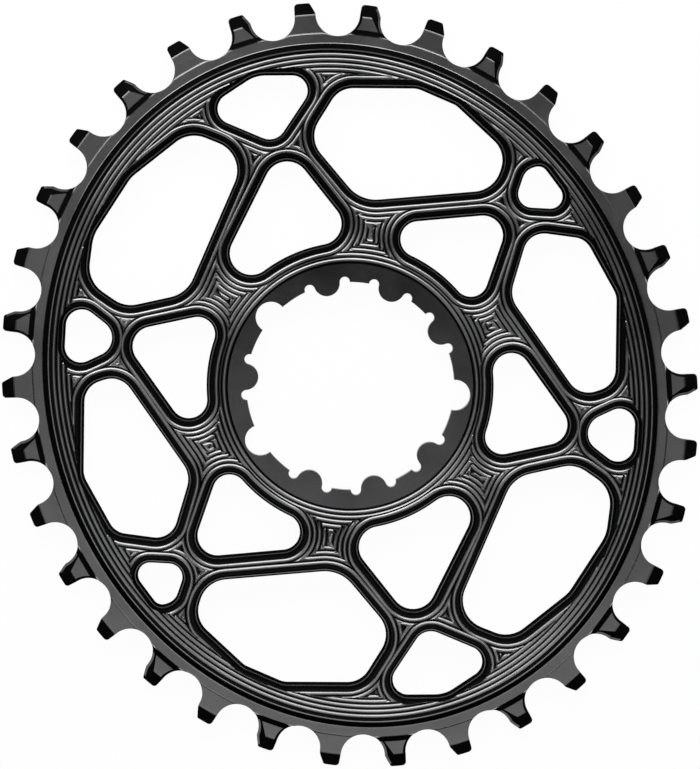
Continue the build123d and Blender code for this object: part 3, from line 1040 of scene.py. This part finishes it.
# Camera: nearly straight down, with the photograph's turn and slight lean
imageWidth, imageHeight = 700, 769
shot = {
    "distance": 1000.0,
    "sensorWidth": 36.0,
    "pixelsPerMillimetre": 5.113,
    "upBearing": 73.0,  # bearing of the ring that points up in the picture
    "lean": 1.9,
    "leanBearing": 97.7,
    "aimRight": -0.046,
    "aimUp": 0.233,
    "aimHeight": 2.0,
}
right = lift(spokes(math.radians(shot["upBearing"] - 90)), 0.0)
up = lift(spokes(math.radians(shot["upBearing"])), 0.0)
aim = right * shot["aimRight"] + up * shot["aimUp"] + [0, 0, shot["aimHeight"]]
lean = math.radians(shot["lean"])
towards = lift(spokes(math.radians(shot["leanBearing"])) * math.sin(lean), math.cos(lean))
side = np.cross(up, towards)
side /= np.linalg.norm(side)
axes = np.stack([side, np.cross(towards, side), towards], axis=1)
cameraData = bpy.data.cameras.new("camera")
cameraData.sensor_width = shot["sensorWidth"]
sceneWidth = max(imageWidth, imageHeight) / shot["pixelsPerMillimetre"]
cameraData.lens = shot["sensorWidth"] * shot["distance"] / sceneWidth
cameraData.clip_start = 0.01


# Places an object: its axes are the columns of its matrix.
def stand(thing, axes, place):
    matrix = Matrix(axes.tolist()).to_4x4()
    matrix.translation = Vector(place)
    thing.matrix_world = matrix


camera = addObject("camera", cameraData)
stand(camera, axes, (aim + towards * shot["distance"]) * millimetre)
bpy.context.scene.camera = camera

# Floor, world and soft boxes
studio = {
    "floorSize": 12.0,
    "floorColour": (0.9, 0.9, 0.9, 1),
    "floorRough": 0.9,
    "floorGlow": 0.97,
    "ambient": 0.08,
    # picture bearing, angle from straight up, then distance, width and depth in metres, watts
    "boxes": [
        ("topStrip", 90.0, 50.0, 0.9, 0.9, 0.4, 5.0),
        ("nearTop", 90.0, 52.0, 0.21, 0.2, 0.08, 0.12),
        ("upperLeft", 132.0, 54.0, 0.22, 0.1, 0.1, 0.11),
        ("upperRight", 48.0, 54.0, 0.22, 0.1, 0.1, 0.04),
        ("lowerLeft", 228.0, 54.0, 0.22, 0.1, 0.1, 0.03),
        ("lowerRight", 312.0, 54.0, 0.22, 0.1, 0.1, 0.03),
        ("bottomBox", 260.0, 19.4, 0.9, 0.55, 0.516, 1.32),
    ],
}


# Share of rays that see the backdrop as plain white: camera, glossy and transmission rays.
def backdropRays(tree):
    path = tree.nodes.new("ShaderNodeLightPath")
    either = mathNode(tree, "MAXIMUM", path.outputs["Is Camera Ray"], path.outputs["Is Glossy Ray"])
    return mathNode(tree, "MAXIMUM", either, path.outputs["Is Transmission Ray"])


half = studio["floorSize"] / 2
floorMesh = bpy.data.meshes.new("floor")
floorCorners = [(-half, -half, 0), (half, -half, 0), (half, half, 0), (-half, half, 0)]
floorMesh.from_pydata(floorCorners, [], [(0, 1, 2, 3)])
floor = addObject("floor", floorMesh)
paper = bpy.data.materials.new("palePaper")
paper.use_nodes = True
nodes, links = paper.node_tree.nodes, paper.node_tree.links
matt = nodes["Principled BSDF"]
setInputs(matt, **{"Base Color": studio["floorColour"], "Roughness": studio["floorRough"]})
setInputs(matt, **{"Specular IOR Level": 0.0})
glow, blend = nodes.new("ShaderNodeEmission"), nodes.new("ShaderNodeMixShader")
glowShare = mathNode(paper.node_tree, "MULTIPLY", backdropRays(paper.node_tree), studio["floorGlow"])
links.new(glowShare, blend.inputs["Fac"])
links.new(matt.outputs["BSDF"], blend.inputs[1])
links.new(glow.outputs["Emission"], blend.inputs[2])
links.new(blend.outputs["Shader"], nodes["Material Output"].inputs["Surface"])
floorMesh.materials.append(paper)

world = bpy.data.worlds.new("studio")
bpy.context.scene.world = world
world.use_nodes = True
nodes = world.node_tree.nodes
setInputs(nodes["Background"], Strength=studio["ambient"], Color=(1, 1, 1, 1))

for name, bearing, fromTop, distance, width, depth, watts in studio["boxes"]:
    lampData = bpy.data.lights.new(name, "AREA")
    lampData.shape = "RECTANGLE"
    lampData.size, lampData.size_y = width, depth
    lampData.energy = watts
    around = math.radians(bearing + shot["upBearing"] - 90)
    tilt = math.radians(fromTop)
    way = lift(spokes(around) * math.sin(tilt), math.cos(tilt))
    lampSide = lift(spokes(around - math.pi / 2), 0.0)
    lampAxes = np.stack([lampSide, np.cross(way, lampSide), way], axis=1)
    stand(addObject(name, lampData), lampAxes, way * distance)
bpy.context.scene.view_settings.view_transform = "Standard"
print("camera and", len(studio["boxes"]), "soft boxes")
